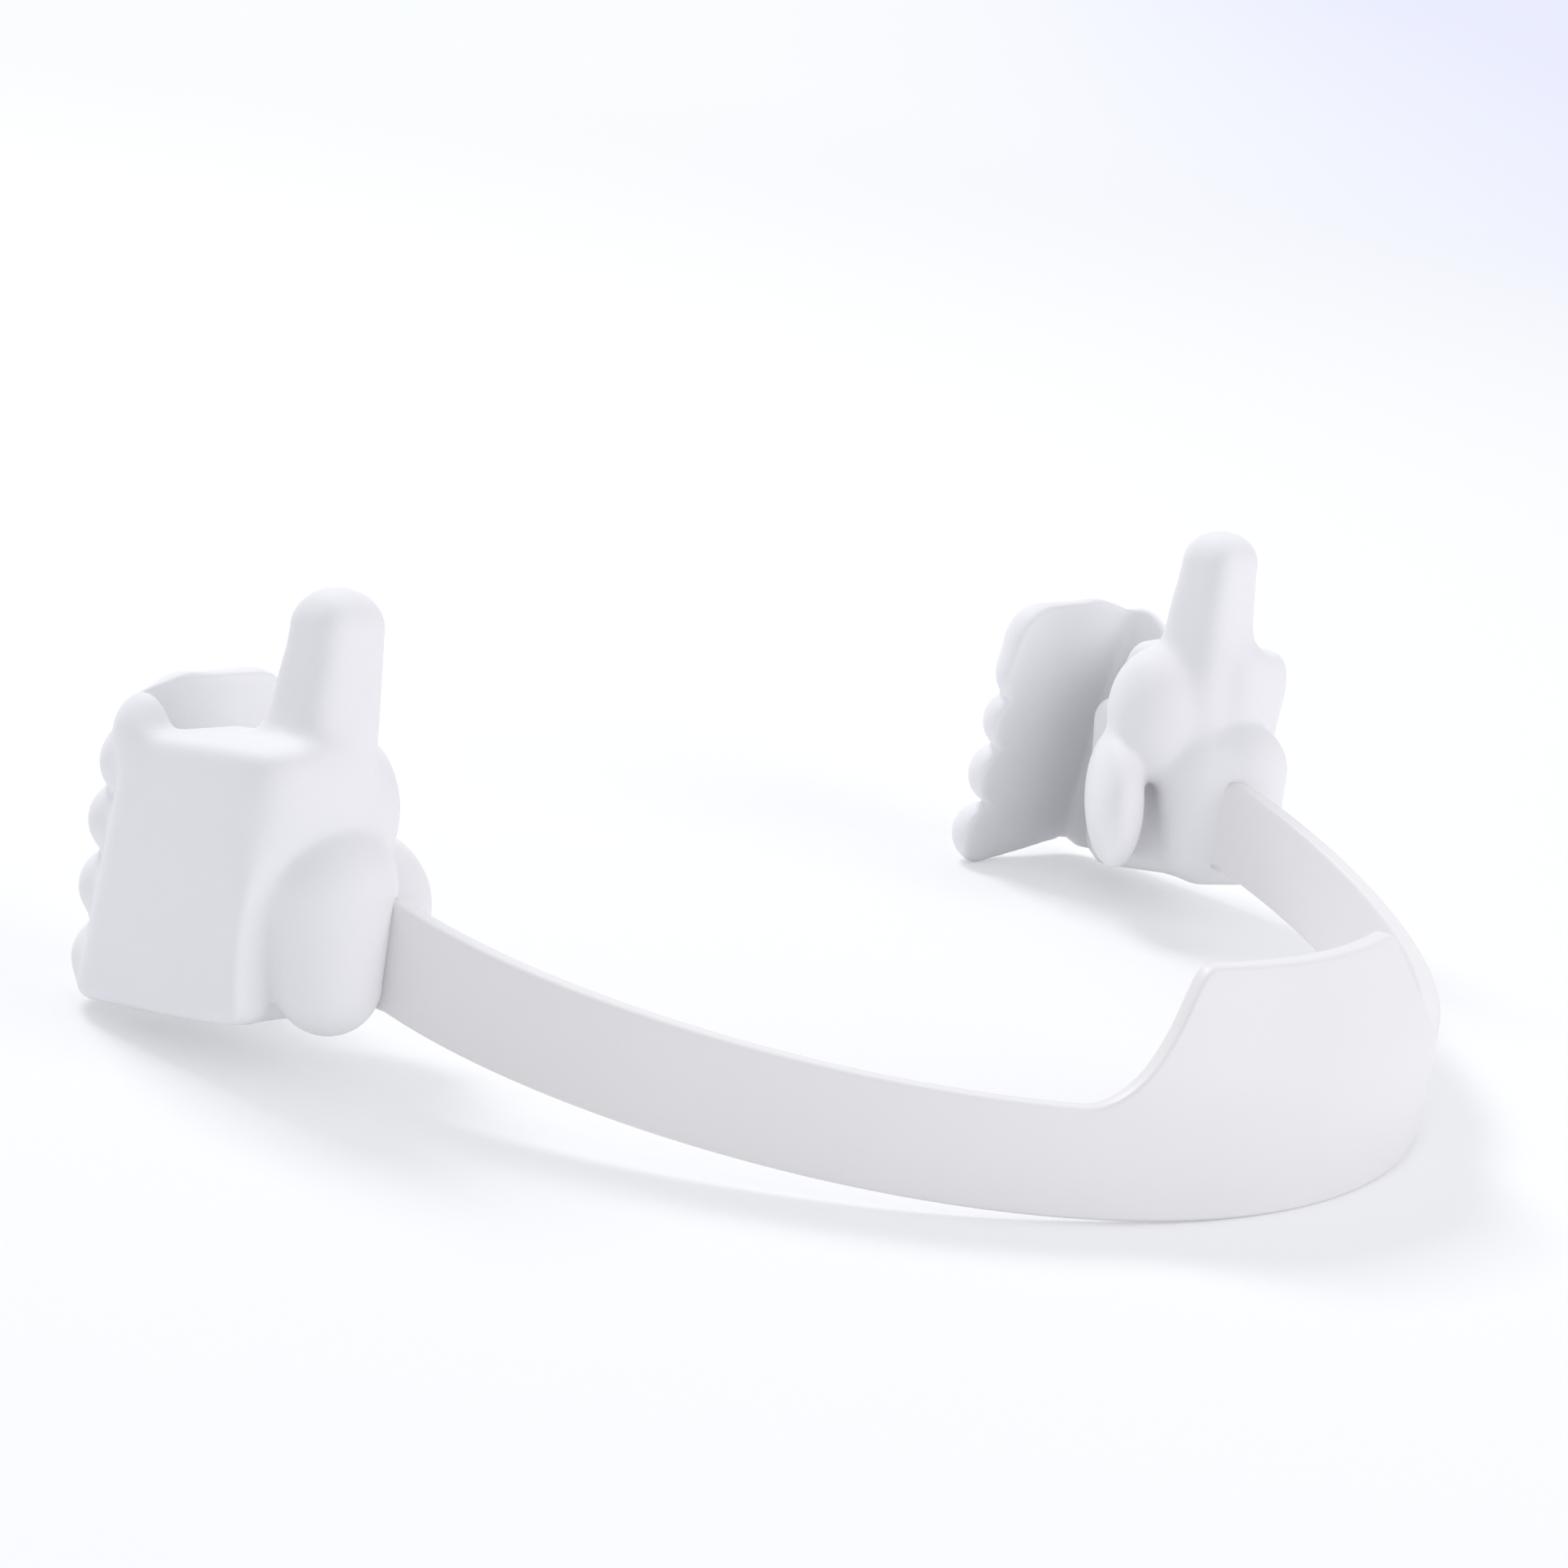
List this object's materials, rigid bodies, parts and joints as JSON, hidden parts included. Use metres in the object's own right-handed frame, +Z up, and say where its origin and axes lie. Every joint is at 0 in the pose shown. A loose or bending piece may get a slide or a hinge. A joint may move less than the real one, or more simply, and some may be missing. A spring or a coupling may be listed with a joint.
{
  "type": "desktop phone stand",
  "caption": "Desktop phone stand: a flat strap bent to a U with a raised tab, ending in thumbs-up fists whose slots hold the short ends of a phone.",
  "frame": {"origin": "on the floor, at the middle of the stand's bounding box", "axes": "+X along the phone it holds, towards the right hand seen from behind; +Y towards the phone's screen side; +Z up"},
  "size_m": [0.1654, 0.1054, 0.049],
  "materials": {
    "strap": "satin white flexible plastic",
    "hand": "soft matt white moulded rubber"
  },
  "bodies": {
    "root": {"strap": "strap", "left_hand": "hand", "right_hand": "hand"}
  },
  "joints": []
}
